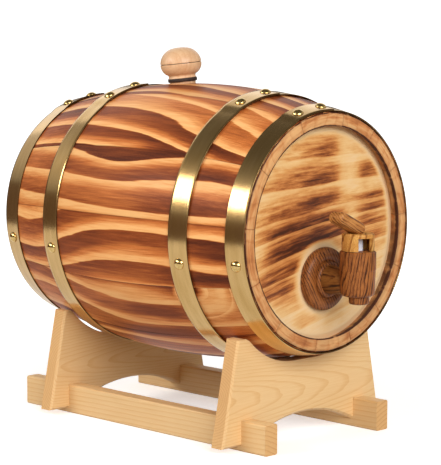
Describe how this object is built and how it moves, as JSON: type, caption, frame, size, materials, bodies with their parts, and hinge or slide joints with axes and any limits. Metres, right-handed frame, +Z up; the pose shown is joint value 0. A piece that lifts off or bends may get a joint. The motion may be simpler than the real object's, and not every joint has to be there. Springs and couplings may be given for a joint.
{
  "type": "wine barrel",
  "caption": "Small wooden table wine barrel lying on a two-board saddle stand, with brass hoops, a push-in wooden tap with a turning key at one end and a round-knobbed bung on top.",
  "frame": {"origin": "on the floor under the middle of the overall footprint, so x = 0 is the barrel's upright centre plane and z = 0 is the underside of the stand's rails", "axes": "+Z up, +Y along the barrel's axis from the tap end to the plain end, +X to the right when facing the tap"},
  "size_m": [0.2132, 0.3122, 0.2931],
  "materials": {
    "stave_wood": "torched and oiled softwood, lengthwise dark flame marks",
    "head_wood": "lightly torched softwood, satin",
    "hoop_brass": "brushed round the hoop",
    "nail_brass": "polished domes",
    "tap_wood": "dark striped hardwood, oiled",
    "collar_wood": "golden wood, polished",
    "spindle_plastic": "white, glossy",
    "bung_wood": "pale turned wood, satin",
    "gasket_rubber": "dark brown, matt",
    "stand_pine": "pale planed pine, satin",
    "screw_steel": "zinc plated"
  },
  "bodies": {
    "stand": {"stand_board_front": "stand_pine", "stand_board_rear": "stand_pine", "stand_rail_left": "stand_pine", "stand_rail_right": "stand_pine", "stand_screws": "screw_steel"},
    "barrel": {"stave_01": "stave_wood", "stave_02": "stave_wood", "stave_03": "stave_wood", "stave_04": "stave_wood", "stave_05": "stave_wood", "stave_06": "stave_wood", "stave_07": "stave_wood", "stave_08": "stave_wood", "stave_09": "stave_wood", "stave_10": "stave_wood", "stave_11": "stave_wood", "stave_12": "stave_wood", "stave_13": "stave_wood", "head_front_bottom": "head_wood", "head_front_middle": "head_wood", "head_front_top": "head_wood", "head_rear_bottom": "head_wood", "head_rear_middle": "head_wood", "head_rear_top": "head_wood", "hoop_front_chime": "hoop_brass", "hoop_front_quarter": "hoop_brass", "hoop_rear_quarter": "hoop_brass", "hoop_rear_chime": "hoop_brass", "nails_front_chime": "nail_brass", "nails_front_quarter": "nail_brass", "nails_rear_quarter": "nail_brass", "nails_rear_chime": "nail_brass", "tap_body": "tap_wood", "tap_stem": "tap_wood", "tap_rosette": "tap_wood", "tap_spout": "tap_wood"},
    "bung": {"bung_plug": "bung_wood", "bung_gasket": "gasket_rubber", "bung_knob": "bung_wood"},
    "tap_key": {"tap_handle": "tap_wood", "tap_collar": "collar_wood", "tap_spindle": "spindle_plastic", "tap_valve_plug": "tap_wood"}
  },
  "joints": [
    {"name": "barrel_lift", "type": "slide", "parent": "stand", "child": "barrel", "axis": [0, 0, 1], "range_m": [0, 0.12]},
    {"name": "bung_pull", "type": "slide", "parent": "barrel", "child": "bung", "axis": [-0.0739, 0.0739, 0.9945], "range_m": [0, 0.05]},
    {"name": "tap_turn", "type": "hinge", "parent": "barrel", "child": "tap_key", "pos_m": [0, -0.1426, 0.1386], "axis": [0, 0, 1], "range_deg": [0, 90]}
  ]
}
